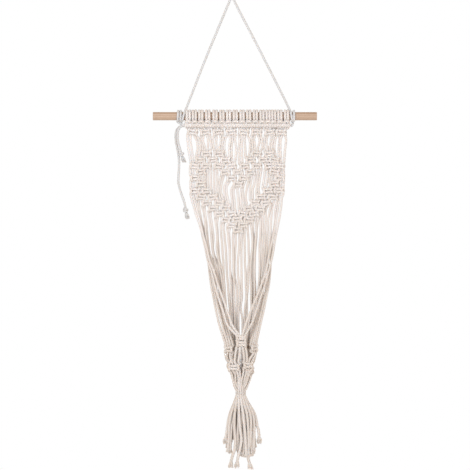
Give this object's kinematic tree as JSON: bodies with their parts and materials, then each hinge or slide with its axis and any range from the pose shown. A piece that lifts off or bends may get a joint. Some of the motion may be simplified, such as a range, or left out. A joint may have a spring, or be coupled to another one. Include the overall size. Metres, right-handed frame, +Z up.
{
  "type": "macrame plant hanger with wooden dowel",
  "caption": "Wall plant hanger of knotted cotton cord on a wooden dowel, with a V of square knots, a sling for a pot and a tassel.",
  "frame": {"origin": "underside of the hanging loop's top, where it bears on its wall hook", "axes": "+X along the dowel to the viewer's right, +Y back towards the wall, +Z up"},
  "size_m": [0.3, 0.0549, 0.86],
  "materials": {
    "cotton": "natural twisted cotton cord, matt",
    "wood": "sanded bare beech"
  },
  "bodies": {
    "root": {"dowel": "wood", "hanging_loop": "cotton", "loose_end_short": "cotton", "loose_end_long": "cotton", "heading": "cotton", "knotted_panel": "cotton", "pocket_front_left": "cotton", "pocket_front_right": "cotton", "pocket_back": "cotton", "neck_tie": "cotton", "tassel": "cotton"}
  },
  "joints": []
}
